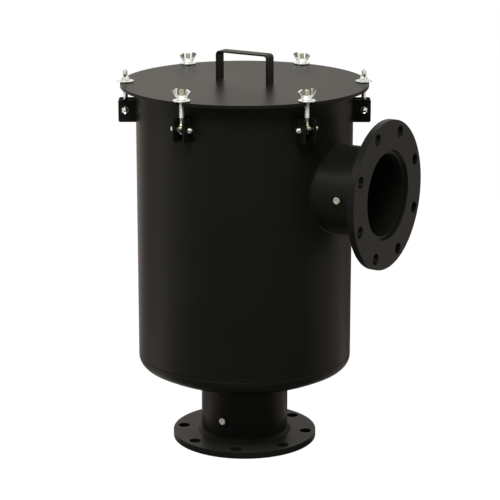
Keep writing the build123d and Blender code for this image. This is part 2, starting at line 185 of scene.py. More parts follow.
def lengthOf(wire):
    return wire.node("ShaderNodeVectorMath", {"operation": "LENGTH"}, {0: wire}, output=1)


def raised(wire, height, depth):
    # a Normal from a height of 0 to 1 that stands for depth in metres
    sockets = {"Strength": 1.0, "Distance": depth, "Height": height}
    return wire.node("ShaderNodeBump", {}, sockets)


def newFinish(name):
    material = bpy.data.materials.new(name)
    material.use_nodes = True
    material.node_tree.nodes.clear()
    tree = Wire(material.node_tree)
    coords = tree.node("ShaderNodeTexCoord", output=3)
    return material, tree, coords


def surfaceOf(tree, sockets):
    shader = tree.node("ShaderNodeBsdfPrincipled", {}, sockets)
    tree.node("ShaderNodeOutputMaterial", {}, {"Surface": shader})


# Finishes

coatSettings = {
    "dark": (0.0042, 0.0047, 0.0032),
    "light": (0.0070, 0.0075, 0.0053),
    "roughness": 0.32,
    "reflectance": 0.125,
    "driftPerMetre": 6,
    "peelPerMetre": 620,
    "grainPerMetre": 2480,
    "peelDepth": 0.012 * mm,
    "weldRadius": 0,
}


flangeCoatPaintedLightSettings = {  # the coat on the foot flange is a touch rougher, and paler with painted light on its back face
    "dark": (0.0150, 0.0150, 0.0126),
    "light": (0.0235, 0.0232, 0.0197),
    "roughness": 0.33,
    "back": 12.7 * mm,  # below its back the rim has no painted light and is as dark as the rest
    "edge": (0.0075, 0.0077, 0.0062),
    "weldRadius": 90.5 * mm,  # and so is the weld on its back, which gets no painted light
    "weld": (0.004, 0.004, 0.0035),
    "weldRoughness": 0.15,  # how much duller the coat is there
}


def blackCoat(name, settings):
    # satin powder coat: orange peel in the film, and a slow drift in its sheen
    material, tree, coords = newFinish(name)
    drift = noiseOn(coords, settings["driftPerMetre"], 3.0)
    peel = noiseOn(coords, settings["peelPerMetre"], 2.0)
    grain = noiseOn(coords, settings["grainPerMetre"], 1.0)
    film = blend(tree, drift * 0.6 + grain * 0.4, settings["dark"], settings["light"])
    roughness = settings["roughness"] + drift * 0.06 + grain * 0.05
    # painted light: the foot flange's back face is paler, but not its rim or its weld
    if settings["weldRadius"]:
        flat = tree.node("ShaderNodeVectorMath", {"operation": "MULTIPLY"}, {0: coords, 1: (1, 1, 0)})
        paintedLightOnBack = ((coords.parts()[2] - settings["back"]) * (2 / mm) + 1).atMost(1).atLeast(0)
        offWeld = ((lengthOf(flat) - settings["weldRadius"]) * (1 / mm)).atMost(1).atLeast(0)
        film = blend(tree, paintedLightOnBack, settings["edge"], film)
        film = blend(tree, offWeld, settings["weld"], film)
        roughness = roughness + (1 - offWeld) * settings["weldRoughness"]
    surfaceOf(tree, {
        "Base Color": film,
        "Roughness": roughness,
        "Specular IOR Level": settings["reflectance"],
        "Normal": raised(tree, peel * 0.8 + grain * 0.2, settings["peelDepth"]),
    })
    return material


zincSettings = {
    "dark": (0.80, 0.87, 0.85),
    "light": (0.90, 0.97, 0.95),
    "brightBelow": 664 * mm,  # under the lid the plate keeps its first shine
    "bloomedAbove": 676 * mm,
    "metallic": (1.0, 0.93),
    "roughness": 0.10,
    "bloomPerMetre": 90,
    "tumblePerMetre": 900,
    "tumbleDepth": 0.006 * mm,
    # painted shade: a dark colour laid on the plate below a height, or beyond a reach towards a direction
    "paintedShade": (0.12, 0.11, 0.09),
    "paintedShadeBelow": (0, 0),
    "paintedShadeToward": None,  # a direction, and how far along it the painted shade begins
    # a darker tone outside a band of heights
    "endTone": (0.48, 0.50, 0.38),
    "endToneOutside": (0, 1),
}


def brightZinc(name, settings):
    # zinc plate over tumbled steel: bright, with soft dents and a faint bloom
    material, tree, coords = newFinish(name)
    bloom = noiseOn(coords, settings["bloomPerMetre"], 3.0)
    tumble = noiseOn(coords, settings["tumblePerMetre"], 2.0)
    height = coords.parts()[2]
    # painted shade below a height, and on what lies far enough along a direction
    low, high = settings["paintedShadeBelow"]
    unshaded = mapped(height, (low, high + 1 * mm))
    if settings["paintedShadeToward"]:
        way, reach = settings["paintedShadeToward"]
        along = tree.node("ShaderNodeVectorMath", {"operation": "DOT_PRODUCT"}, {0: coords, 1: way}, output=1)
        unshaded = unshaded.atLeast(((reach - along) * (1 / mm)).atMost(1).atLeast(0))
    # a darker tone outside a band of heights
    endToneLow, endToneHigh = settings["endToneOutside"]
    endToneShare = (height - endToneHigh).atLeast(endToneLow - height) * (0.5 / mm)
    plate = blend(tree, bloom, settings["dark"], settings["light"])
    plate = blend(tree, endToneShare.atMost(1).atLeast(0), plate, settings["endTone"])
    surfaceOf(tree, {
        "Base Color": blend(tree, unshaded, settings["paintedShade"], plate),
        "Metallic": mapped(height, (settings["brightBelow"], settings["bloomedAbove"]), settings["metallic"]),
        "Roughness": settings["roughness"] + bloom * 0.16 + tumble * 0.05,
        "Normal": raised(tree, tumble, settings["tumbleDepth"]),
    })
    return material


plugSettings = {
    "inlet": {"dark": (0.39, 0.41, 0.31), "light": (0.53, 0.55, 0.43), "metallic": 0.45},
    # the outlet plug is in the shell's shade: its paler, less metallic colour is painted light
    "outletPaintedLight": {"dark": (0.88, 0.90, 0.76), "light": (0.97, 0.98, 0.86), "metallic": 0.06},
    "roughness": 0.40,
    "stainPerMetre": 260,
    "ringsPerMetre": 5200,
    "ringDepth": 0.01 * mm,
}


def turnedSteel(name, centre, settings):
    # plain steel faced off in a lathe, with rings about the plug's axis
    material, tree, coords = newFinish(name)
    sockets = {"Vector": coords, "Location": tuple(-c for c in centre)}
    centred = tree.node("ShaderNodeMapping", {"vector_type": "POINT"}, sockets)
    spread = tree.node("ShaderNodeVectorMath", {"operation": "MULTIPLY"}, {0: centred, 1: (1, 0, 1)})
    turns = lengthOf(spread) * settings["ringsPerMetre"]
    rings = tree.node("ShaderNodeMath", {"operation": "SINE"}, {0: turns})
    stain = noiseOn(coords, settings["stainPerMetre"], 3.0)
    surfaceOf(tree, {
        "Base Color": blend(tree, stain, settings["dark"], settings["light"]),
        "Metallic": settings["metallic"],
        "Roughness": settings["roughness"] + stain * 0.15,
        "Normal": raised(tree, rings * 0.5 + 0.5, settings["ringDepth"]),
    })
    return material


galvanisedSettings = {
    "dark": (0.42, 0.43, 0.44),
    "light": (0.66, 0.67, 0.68),
    "roughness": 0.32,
    "spanglesPerMetre": 140,
    "hazePerMetre": 900,
    "hazeDepth": 0.006 * mm,
}


def galvanisedSheet(name, settings):
    # zinc spangles a few millimetres across, each with its own grey and gloss
    material, tree, coords = newFinish(name)
    sockets = {"Vector": coords, "Scale": settings["spanglesPerMetre"]}
    spangle = tree.node("ShaderNodeTexVoronoi", {}, sockets, output=1)
    grey = tree.node("ShaderNodeRGBToBW", {}, {"Color": spangle})
    haze = noiseOn(coords, settings["hazePerMetre"], 2.0)
    surfaceOf(tree, {
        "Base Color": blend(tree, grey * 0.7 + haze * 0.3, settings["dark"], settings["light"]),
        "Metallic": 1.0,
        "Roughness": settings["roughness"] + grey * 0.18 + haze * 0.08,
        "Normal": raised(tree, haze, settings["hazeDepth"]),
    })
    return material


rubberSettings = {
    "dark": (0.010, 0.010, 0.010),
    "light": (0.024, 0.024, 0.023),
    "roughness": 0.68,
    "bloomPerMetre": 30,
    "poresPerMetre": 1400,
    "poreDepth": 0.03 * mm,
}


def blackRubber(name, settings):
    # matt closed-cell rubber with a bloom of talc in its pores
    material, tree, coords = newFinish(name)
    pores = noiseOn(coords, settings["poresPerMetre"], 2.0, 0.6)
    bloom = noiseOn(coords, settings["bloomPerMetre"], 4.0)
    surfaceOf(tree, {
        "Base Color": blend(tree, bloom * 0.7 + pores * 0.3, settings["dark"], settings["light"]),
        "Roughness": settings["roughness"] + bloom * 0.18,
        "Normal": raised(tree, pores, settings["poreDepth"]),
    })
    return material


feltSettings = {
    "dark": (0.60, 0.575, 0.52),
    "light": (0.84, 0.82, 0.77),
    "roughness": 0.86,
    "sheen": 0.15,
    "dustPerMetre": 14,
    "fibresPerMetre": 2400,
    "fibreDepth": 0.08 * mm,
}


def needleFelt(name, settings):
    # polyester needle felt: short fibres lying all ways, a little dust in the hollows
    material, tree, coords = newFinish(name)
    fibres = noiseOn(coords, settings["fibresPerMetre"], 4.0, 0.7)
    dust = noiseOn(coords, settings["dustPerMetre"], 4.0, 0.6)
    surfaceOf(tree, {
        "Base Color": blend(tree, fibres * 0.5 + dust * 0.5, settings["dark"], settings["light"]),
        "Roughness": settings["roughness"] + fibres * 0.1,
        "Sheen Weight": settings["sheen"],
        "Normal": raised(tree, fibres, settings["fibreDepth"]),
    })
    return material


coat = blackCoat("blackPowderCoat", coatSettings)
flangeCoatPaintedLight = blackCoat("flangePowderCoatPaintedLight", {**coatSettings, **flangeCoatPaintedLightSettings})
zinc = brightZinc("brightZincPlate", zincSettings)
# painted shade on the lower half of each eye, and bolts darker at both ends: painted shade below 667 mm,
# between the lugs, and a darker tone above 711 mm
boltPlateWithPaintedShade = {
    "metallic": (1.0, 0.90),
    "paintedShadeBelow": (655 * mm, 658 * mm),
    "endToneOutside": (667 * mm, 711 * mm),
}
boltZinc = brightZinc("boltZincPaintedShade", {**zincSettings, **boltPlateWithPaintedShade})
# painted shade on the lower part of the cap nuts at the two clamps at the front
capPaintedShade = {"paintedShadeBelow": (646 * mm, 649 * mm), "paintedShadeToward": ((0.5, -0.866, 0), 100 * mm)}
capZinc = brightZinc("capZincPaintedShade", {**zincSettings, **capPaintedShade})
galvanised = galvanisedSheet("galvanisedSheet", galvanisedSettings)
rubber = blackRubber("blackRubber", rubberSettings)
felt = needleFelt("needleFelt", feltSettings)
print("finishes made")


# Places read from the frame

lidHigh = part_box("lid_plate")[1]
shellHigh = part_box("shell")[1]
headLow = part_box("bottom_head")[0]
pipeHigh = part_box("outlet_pipe")[1]
inletLow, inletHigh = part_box("inlet_pipe")
jointOf = {joint["name"]: joint for joint in frame["joints"]}
clampCount = sum(1 for name in jointOf if name.endswith("_swing"))
clampPins = [Vector(jointOf[f"bolt_{k}_swing"]["pos_m"]) for k in range(1, clampCount + 1)]
clampAngles = [atan2(pin.y, pin.x) for pin in clampPins]
clampRadius = clampPins[0].xy.length
pinHeight = clampPins[0].z
shellRadius = shellHigh.y
pipeRadius = pipeHigh.y
inletHeight = (inletLow.z + inletHigh.z) / 2


# Modelling helpers: each shape starts in a bmesh of its own and is joined to its piece

def join(bm, part, matrix=None):
    if matrix is not None:
        bmesh.ops.transform(part, matrix=matrix, verts=part.verts)
    carried = bpy.data.meshes.new("carried")
    part.to_mesh(carried)
    part.free()
    bm.from_mesh(carried)
    bpy.data.meshes.remove(carried)


def joined(*parts):
    bm = bmesh.new()
    for part in parts:
        join(bm, part)
    return bm


def copiesAbout(bm, angles):
    # the shape turned about Z to each of the angles
    out = bmesh.new()
    for angle in angles:
        join(out, bm.copy(), Matrix.Rotation(angle, 4, "Z"))
    bm.free()
    return out


def finishPiece(bm, name, body, finish, standsFor=(), sharpAngle=40):
    bmesh.ops.remove_doubles(bm, verts=bm.verts, dist=0.002 * mm)
    bmesh.ops.recalc_face_normals(bm, faces=bm.faces)
    mesh = bpy.data.meshes.new(name)
    bm.to_mesh(mesh)
    bm.free()
    mesh.shade_smooth()
    mesh.set_sharp_from_angle(angle=radians(sharpAngle))
    mesh.materials.append(finish)
    piece = bpy.data.objects.new(name, mesh)
    bpy.context.scene.collection.objects.link(piece)
    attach(piece, body)
    if standsFor:
        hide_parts(*standsFor)
    return piece


def weighNormals(piece):
    # large flat faces keep their own normal beside small rounded edges
    keep = piece.modifiers.new("weighNormals", "WEIGHTED_NORMAL")
    keep.keep_sharp = True
    keep.weight = 80


def moved(x, y, z):
    return Matrix.Translation((x, y, z))


def turned(degrees, axis):
    return Matrix.Rotation(radians(degrees), 4, axis)


def place(bm, matrix):
    bmesh.ops.transform(bm, matrix=matrix, verts=bm.verts)
    return bm


def spun(bm, steps):
    bmesh.ops.spin(
        bm, geom=[*bm.verts, *bm.edges], cent=(0, 0, 0), axis=(0, 0, 1), angle=2 * pi,
        steps=steps, use_merge=True,
    )
    bmesh.ops.remove_doubles(bm, verts=bm.verts, dist=0.001 * mm)
    bmesh.ops.recalc_face_normals(bm, faces=bm.faces)
    return bm


def ring(outline, steps, rounding=0.0, segments=2):
    # a ring about Z from a closed outline of (radius, height)
    bm = bmesh.new()
    verts = [bm.verts.new((x, 0, z)) for x, z in outline]
    for i in range(len(verts)):
        bm.edges.new((verts[i - 1], verts[i]))
    if rounding:
        bmesh.ops.bevel(
            bm, geom=bm.verts[:], offset=rounding, affect="VERTICES", segments=segments, profile=0.5,
            material=-1,
        )
    return spun(bm, steps)


def lathe(outline, steps):
    # a solid about Z from an open outline that starts and ends on the axis
    bm = bmesh.new()
    verts = [bm.verts.new((x, 0, z)) for x, z in outline]
    for pair in zip(verts, verts[1:]):
        bm.edges.new(pair)
    return spun(bm, steps)


def arcPoints(centre, radius, fromDegrees, toDegrees, steps):
    angles = [radians(fromDegrees + (toDegrees - fromDegrees) * i / steps) for i in range(steps + 1)]
    return [(centre[0] + radius[0] * cos(a), centre[1] + radius[1] * sin(a)) for a in angles]


def threadedRod(settings, low, threadFrom, top):
    # a rod about Z whose upper part is drawn into a helical thread with flat crests and roots
    radius, shank, pitch = settings["radius"], settings["shank"], settings["pitch"]
    tip, depth = settings["tipChamfer"], settings["threadDepth"]
    bm = bmesh.new()
    outline = [(0, low), (shank, low), (shank, threadFrom - tip), (radius, threadFrom), (radius, top - tip)]
    outline += [(radius - depth, top), (0, top)]
    verts = [bm.verts.new((x, 0, z)) for x, z in outline]
    edges = [bm.edges.new(pair) for pair in zip(verts, verts[1:])]
    rings = int((top - tip - threadFrom) / pitch * settings["ringsPerPitch"])
    bmesh.ops.subdivide_edges(bm, edges=[edges[3]], cuts=rings)
    spun(bm, settings["sides"])
    for v in bm.verts:
        if v.co.z < threadFrom - hair or v.co.z > top - tip + hair:
            continue
        turns = (v.co.z - threadFrom) / pitch - atan2(v.co.y, v.co.x) / (2 * pi)
        fade = min(1, (v.co.z - threadFrom) / pitch)
        groove = max(0, min(1, 1.6 * abs(2 * (turns % 1) - 1) - 0.35))
        reach = 1 - fade * depth / radius * groove
        v.co.x, v.co.y = v.co.x * reach, v.co.y * reach
    return bm


def hexReach(v, flat):
    # how far out a hexagon's side is on the vertex's way from the axis
    fromFlat = (atan2(v.co.y, v.co.x) + pi / 6) % (pi / 3) - pi / 6
    return flat / cos(fromFlat)


hexNutSettings = {
    "boreChamfer": 0.4 * mm,
    "sides": 48,
    "wide": 1.1,  # how far out its sides are drawn before the hexagon is cut, in halves of its flats
    "cornerSlope": 0.58,
    "rim": 0.05 * mm,
}


def hexNut(flats, height, bore):
    # a nut on Z = 0, its corners cut off by a cone at both ends
    flat = flats / 2
    chamfer, wide = hexNutSettings["boreChamfer"], flat * hexNutSettings["wide"]
    outline = [(bore, chamfer), (bore + chamfer, 0), (flat, 0), (wide, height / 4), (wide, height * 3 / 4)]
    outline += [(flat, height), (bore + chamfer, height), (bore, height - chamfer)]
    bm = ring(outline, hexNutSettings["sides"])
    for v in bm.verts:
        if v.co.xy.length < (flat + wide) / 2:
            continue
        reach = hexReach(v, flat)
        drop = (reach - flat) * hexNutSettings["cornerSlope"] + hexNutSettings["rim"]
        scale = reach / v.co.xy.length
        v.co.x, v.co.y = v.co.x * scale, v.co.y * scale
        v.co.z = drop if v.co.z < height / 2 else height - drop
    return bm


def weldRing(radius, bead, ripplePitch, seat=None):
    # a bead of weld round a circle about Z, with ripples; seat moves each point onto what carries it
    ripples = int(2 * pi * radius / ripplePitch)
    bm = ring(arcPoints((radius, 0), (bead, bead), 0, 315, 7), 3 * ripples)
    for v in bm.verts:
        angle = atan2(v.co.y, v.co.x)
        middle = Vector((cos(angle), sin(angle), 0)) * radius
        point = middle + (v.co - middle) * (1 + 0.07 * cos(ripples * angle))
        v.co = seat(point) if seat else point
    return bm


def weldBar(start, end, bead, ripplePitch):
    # a short straight bead with rounded ends and rippled sides
    start, end = Vector(start), Vector(end)
    along = end - start
    half = along.length / 2
    steps = max(6, int(3 * along.length / ripplePitch))
    outline = [(0, -half)]
    for i in range(1, steps):
        z = half * (2 * i / steps - 1)
        swell = sqrt(1 - abs(z / half) ** 6) * (1 + 0.08 * cos(2 * pi * z / ripplePitch))
        outline.append((bead * swell, z))
    outline.append((0, half))
    facing = along.to_track_quat("Z", "Y").to_matrix().to_4x4()
    return place(lathe(outline, 8), Matrix.Translation((start + end) / 2) @ facing)


def softenEdges(node, width, segments=2):
    # a CAD node's loose triangles are joined, its flats made whole and its sharp edges rounded
    weld = node.modifiers.new("joinTriangles", "WELD")
    weld.merge_threshold = 0.004 * mm
    flats = node.modifiers.new("wholeFlats", "DECIMATE")
    flats.decimate_type = "DISSOLVE"
    flats.angle_limit = radians(0.5)
    edge = node.modifiers.new("roundEdges", "BEVEL")
    edge.limit_method = "ANGLE"
    edge.angle_limit = radians(32)
    edge.width = width
    edge.segments = segments
    edge.use_clamp_overlap = False
    edge.harden_normals = True
    weighNormals(node)


def dress(nodeName, finish):
    node = frame["nodes"][nodeName]
    node.data.materials.clear()
    node.data.materials.append(finish)
    return node


# CAD nodes that stay, with their finish and the rounding of their edges

coatedNodes = {
    "shell": 0.4 * mm,
    "bottom_head": 0.4 * mm,
    "outlet_pipe": 0.6 * mm,
    "inlet_pipe": 0.6 * mm,
    "outlet_flange": 0.35 * mm,
    "inlet_flange": 0.35 * mm,
    "rim_ring": 0.5 * mm,
    "gauge_bosses": 0.8 * mm,
    "clamp_lugs": 0.4 * mm,
    "lid_plate": 0.6 * mm,
    "lid_handle": 0.5 * mm,
    "seat_plate": 0.5 * mm,
    "spider": 0.5 * mm,
}
# the foot flange takes the coat with painted light on its back face
for nodeName, edgeWidth in coatedNodes.items():
    softenEdges(dress(nodeName, flangeCoatPaintedLight if nodeName == "outlet_flange" else coat), edgeWidth)
print("coated nodes dressed")


# Swing bolts, washers, wing nuts and cap nuts at every clamp

boltSettings = {
    "radius": 4.75 * mm,
    "shank": 4.15 * mm,
    "pitch": 25.4 / 16 * mm,
    "threadDepth": 0.52 * mm,
    "tipChamfer": 0.9 * mm,
    "ringsPerPitch": 6,
    "sides": 18,
    "threadBelowLid": 29 * mm,  # the thread starts this far under the lid's top
    "rodInEye": 2.5 * mm,
    "eyeRadius": 9.5 * mm,
    "eyeBore": 4.08 * mm,
    "eyeRounding": 1.4 * mm,
    "eyeSides": 40,
    "neck": [(4.15 * mm, 15 * mm), (4.3 * mm, 12.6 * mm), (5.0 * mm, 10.2 * mm), (6.2 * mm, 8.2 * mm)],
}


def makeEyeBolt(number, pin, angle):
    name = f"eye_bolt_{number}"
    settings = boltSettings
    half, inner, outer = settings["radius"], settings["eyeBore"], settings["eyeRadius"]
    threadFrom = lidHigh.z - pin.z - settings["threadBelowLid"]
    rod = threadedRod(settings, outer - settings["rodInEye"], threadFrom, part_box(name)[1].z - pin.z)
    section = [(inner, -half), (outer, -half), (outer, half), (inner, half)]
    eye = ring(section, settings["eyeSides"], settings["eyeRounding"], 3)
    neck = settings["neck"]
    neck = lathe([(0, neck[0][1]), *neck, (0, neck[-1][1])], settings["sides"])
    for v in neck.verts:
        v.co.y = max(-half, min(half, v.co.y))
    bm = joined(rod, place(eye, turned(90, "X")), neck)
    place(bm, Matrix.Translation(pin) @ Matrix.Rotation(angle, 4, "Z"))
    finishPiece(bm, f"swingBolt{number}", f"bolt_{number}", boltZinc, [name])


washerSettings = {"rounding": 0.55 * mm, "bore": 5.15 * mm, "sides": 48}


def makeWasher(number, pin):
    name = f"clamp_washer_{number}"
    low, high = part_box(name)
    inner, outer = washerSettings["bore"], (high.x - low.x) / 2
    outline = [(inner, low.z), (outer, low.z), (outer, high.z), (inner, high.z)]
    bm = ring(outline, washerSettings["sides"], washerSettings["rounding"], 3)
    place(bm, moved(pin.x, pin.y, 0))
    weighNormals(finishPiece(bm, f"washer{number}", f"washer_{number}", zinc, [name]))


# A wing nut is drawn on its seat, with its wings along Y. Each section of a wing is
# (half thickness, lower reach, lower height, upper reach, upper height)
wingNutSettings = {
    "bore": 4.85 * mm,
    "hub": [(9.2 * mm, 0.0), (9.0 * mm, 1.8 * mm), (7.4 * mm, 4.8 * mm), (6.3 * mm, 8.8 * mm)],
    "sides": 12,
    "sections": [
        (2.3 * mm, 11.2 * mm, 4.0 * mm, 8.4 * mm, 8.4 * mm),
        (1.9 * mm, 13.9 * mm, 8.0 * mm, 8.7 * mm, 12.6 * mm),
        (2.1 * mm, 18.2 * mm, 14.6 * mm, 9.4 * mm, 19.2 * mm),
        (2.0 * mm, 19.2 * mm, 16.4 * mm, 9.9 * mm, 20.7 * mm),
    ],
    "outlineCrease": 0.55,
    "seatCrease": 0.6,
    "boreCrease": 0.9,
    "dishInset": 1.4 * mm,
    "dishDepth": 0.7 * mm,
}


def wingNutForm(bore):
    settings = wingNutSettings
    sides, hub = settings["sides"], settings["hub"]
    bm = lathe([(0, 0), *hub, (0, hub[-1][1])], sides)
    bmesh.ops.dissolve_limit(bm, angle_limit=radians(1), verts=bm.verts, edges=bm.edges)
    place(bm, turned(180 / sides, "Z"))
    bm.normal_update()
    for side in (1, -1):
        root = [f for f in bm.faces if side * f.normal.y > 0.8]
        root = [f for f in root if hub[1][1] < f.calc_center_median().z < hub[2][1]]
        root.sort(key=lambda f: abs(f.calc_center_median().x))
        root = root[:1]
        for thickness, lowReach, lowHeight, highReach, highHeight in settings["sections"]:
            middle = root[0].calc_center_median().z
            root = bmesh.ops.extrude_discrete_faces(bm, faces=root)["faces"]
            for v in root[0].verts:
                upper = v.co.z > middle
                v.co.x = thickness if v.co.x > 0 else -thickness
                v.co.y = side * (highReach if upper else lowReach)
                v.co.z = highHeight if upper else lowHeight
    bm.normal_update()
    reach = settings["sections"][1][1]
    faces = [f for f in bm.faces if abs(f.normal.x) > 0.9 and hub[0][0] < abs(f.calc_center_median().y)]
    faces = [f for f in faces if max(abs(v.co.y) for v in f.verts) > reach * 0.99]
    bmesh.ops.inset_region(
        bm, faces=faces, thickness=settings["dishInset"], depth=-settings["dishDepth"], use_even_offset=True
    )
    ends = [f for f in bm.faces if abs(f.normal.z) > 0.99 and len(f.verts) == sides]
    for face in ends:
        radius = max(v.co.xy.length for v in face.verts)
        bmesh.ops.inset_region(bm, faces=[face], thickness=(radius - bore) * cos(pi / sides))
    rims = [e for face in ends for e in face.edges]
    bmesh.ops.delete(bm, geom=ends, context="FACES_ONLY")
    bmesh.ops.bridge_loops(bm, edges=rims)
    crease = bm.edges.layers.float.new("crease_edge")
    thinnest = min(section[0] for section in settings["sections"])
    for edge in bm.edges:
        first, second = (v.co for v in edge.verts)
        inBore = max(first.xy.length, second.xy.length) < bore * 1.02
        onSeat = max(first.z, second.z) < hair
        level = abs(first.z - second.z) < hair
        outline = first.x * second.x > 0 and min(abs(first.x), abs(second.x)) > thinnest * 0.99
        outline = outline and min(abs(first.y), abs(second.y)) > hub[2][0]
        edge[crease] = settings["outlineCrease"] * outline
        if inBore and level:
            edge[crease] = settings["boreCrease"]
        elif onSeat:
            edge[crease] = settings["seatCrease"]
    return bm


def smoothForm(piece, levels=2):
    smooth = piece.modifiers.new("smoothForm", "SUBSURF")
    smooth.levels = levels
    smooth.render_levels = levels


def makeWingNut(name, nodeName, body, bore, seat, angle, scale=1.0):
    bm = place(wingNutForm(bore / scale), Matrix.Scale(scale, 4))
    place(bm, Matrix.Translation(seat) @ Matrix.Rotation(angle, 4, "Z"))
    piece = finishPiece(bm, name, body, zinc, [nodeName], sharpAngle=180)
    smoothForm(piece)


capNutSettings = {
    "flats": 12.7 * mm,
    "hexHeight": 5.0 * mm,
    "domeRadius": 5.9 * mm,
    "domeHeight": 5.2 * mm,
    "domeInHex": 0.6 * mm,
    "domeSides": 32,
    "overLugs": 12.7 * mm,  # from the middle of a clamp out to the lugs' outer faces
    "studRadius": 4.0 * mm,
}


def makeCapNuts():
    settings = capNutSettings
    seat, flare, height = settings["hexHeight"], settings["domeRadius"], settings["domeHeight"]
    base = seat - settings["domeInHex"]
    dome = arcPoints((0, seat), (flare, height), 0, 90, 8)[:-1]
    bm = bmesh.new()
    for side in (1, -1):
        nut = joined(
            hexNut(settings["flats"], seat, settings["studRadius"]),
            lathe([(0, base), (flare, base), *dome, (0, seat + height)], settings["domeSides"]),
        )
        join(bm, nut, moved(clampRadius, side * settings["overLugs"], pinHeight) @ turned(-90 * side, "X"))
    bm = copiesAbout(bm, clampAngles)
    finishPiece(bm, "capNuts", "vessel", capZinc, ["cap_nuts"], sharpAngle=28)


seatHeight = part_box("clamp_washer_1")[1].z
for number, (pin, angle) in enumerate(zip(clampPins, clampAngles), start=1):
    makeEyeBolt(number, pin, angle)
    makeWasher(number, pin)
    seat, bore = Vector((pin.x, pin.y, seatHeight)), wingNutSettings["bore"]
    makeWingNut(f"wingNut{number}", f"wing_nut_{number}", f"nut_{number}", bore, seat, angle)
makeCapNuts()
dress("pivot_studs", zinc)
print("clamps made")


# Gauge plugs: turned steel with a hexagonal key's socket

plugDetail = {
    "radius": 7.0 * mm,
    "faceRadius": 6.1 * mm,
    "cone": 2.6 * mm,
    "socketFlats": 6.0 * mm,
    "socketDepth": 0.8 * mm,
    "socketChamfer": 0.3 * mm,
    "rounding": 0.5 * mm,
    "sides": 48,
}
plugLow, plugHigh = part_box("gauge_plugs")
outletPlug = Vector((0, plugLow.y, plugLow.z + plugDetail["radius"]))
inletPlug = Vector((plugHigh.x - plugDetail["radius"], plugLow.y, plugHigh.z - plugDetail["radius"]))


def makePlug(name, centre, look, standsFor):
    radius, edge, depth = plugDetail["radius"], plugDetail["rounding"], plugDetail["socketDepth"]
    length = plugHigh.y - plugLow.y
    socket = plugDetail["socketFlats"] / 2
    face = plugDetail["faceRadius"]
    rim = arcPoints((face - edge, length - edge), (edge, edge), 20, 90, 3)
    outline = [(0, 0), (radius, 0), (radius, length - plugDetail["cone"]), *rim]
    outline += [(socket * 1.25, length), (socket * 1.02, length - plugDetail["socketChamfer"])]
    outline += [(socket, length - depth), (0, length - depth)]
    bm = lathe(outline, plugDetail["sides"])
    for v in bm.verts:
        if v.co.z > length / 2 and 0 < v.co.xy.length < socket * 1.1:
            scale = hexReach(v, socket) / v.co.xy.length
            v.co.x, v.co.y = v.co.x * scale, v.co.y * scale
    place(bm, Matrix.Translation(centre + Vector((0, length, 0))) @ turned(90, "X"))
    steel = turnedSteel(name + "Steel", centre, {**plugSettings, **plugSettings[look]})
    finishPiece(bm, name, "vessel", steel, standsFor, sharpAngle=30)


# the outlet plug takes the steel with painted light
makePlug("outletGaugePlug", outletPlug, "outletPaintedLight", ["gauge_plugs"])
makePlug("inletGaugePlug", inletPlug, "inlet", [])
print("gauge plugs made")


# Filter element: pleated felt between two expanded metal cages and two pressed caps

elementSettings = {
    "pleats": 72,
    "feltThickness": 1.3 * mm,
    "foldSteps": 3,
    "foldRadius": 1.7 * mm,
    "foldWidth": 0.98,  # of the fold's radius
    "outerFoldInset": 1.0 * mm,
    "innerFoldInset": 1.2 * mm,
    "strand": 1.3 * mm,
    "outerColumns": 66,
    "innerColumns": 46,
    "rows": 15,
}
mediaLow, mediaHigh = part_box("pleated_media")


def makePleats():
    # one pleat is drawn with round folds, repeated round the element and drawn up
    settings = elementSettings
    tip = mediaHigh.y - settings["outerFoldInset"]
    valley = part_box("inner_cage")[1].y + settings["innerFoldInset"]
    pleats, steps, fold = settings["pleats"], settings["foldSteps"], settings["foldRadius"]
    bm = bmesh.new()
    verts = []
    for i in range(pleats):
        middle = 2 * pi * i / pleats
        for radius, side, turn in ((tip, -1, 0), (valley, 1, pi / pleats)):
            for j in range(-steps, steps + 1):
                bend = j / steps * pi / 2
                reach = radius + side * fold * (1 - cos(bend))
                across = fold * settings["foldWidth"] * sin(bend)
                angle = middle + turn + across / radius
                verts.append(bm.verts.new((reach * cos(angle), reach * sin(angle), mediaLow.z)))
    edges = [bm.edges.new((verts[i - 1], verts[i])) for i in range(len(verts))]
    grown = bmesh.ops.extrude_edge_only(bm, edges=edges)["geom"]
    top = [item for item in grown if isinstance(item, bmesh.types.BMVert)]
    bmesh.ops.translate(bm, verts=top, vec=(0, 0, mediaHigh.z - mediaLow.z))
    piece = finishPiece(bm, "pleatedFelt", "vessel", felt, ["pleated_media"], sharpAngle=180)
    wall = piece.modifiers.new("feltThickness", "SOLIDIFY")
    wall.thickness = settings["feltThickness"]
    wall.offset = 0


def makeCage(name, nodeName, columns):
    # a tube of diamonds: each quad is poked, its own edges are dissolved, and strands follow what is left
    settings = elementSettings
    low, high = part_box(nodeName)
    rows = settings["rows"]
    radius = high.y - settings["strand"] / 2
    bm = bmesh.new()
    bmesh.ops.create_circle(bm, segments=columns, radius=radius)
    place(bm, moved(0, 0, low.z + settings["strand"] / 2))
    rise = (high.z - low.z - settings["strand"]) / rows
    edges = bm.edges[:]
    for i in range(rows):
        grown = bmesh.ops.extrude_edge_only(bm, edges=edges)["geom"]
        verts = [item for item in grown if isinstance(item, bmesh.types.BMVert)]
        bmesh.ops.translate(bm, verts=verts, vec=(0, 0, rise))
        edges = [item for item in grown if isinstance(item, bmesh.types.BMEdge)]
    grid = [e for e in bm.edges if not e.is_boundary]
    bmesh.ops.poke(bm, faces=bm.faces[:])
    bmesh.ops.dissolve_edges(bm, edges=[e for e in grid if e.is_valid])
    for v in bm.verts:
        scale = radius / v.co.xy.length
        v.co.x, v.co.y = v.co.x * scale, v.co.y * scale
    piece = finishPiece(bm, name, "vessel", galvanised, [nodeName])
    strands = piece.modifiers.new("strands", "WIREFRAME")
    strands.thickness = settings["strand"]
    strands.offset = 0
    strands.use_boundary = True
    strands.use_even_offset = False


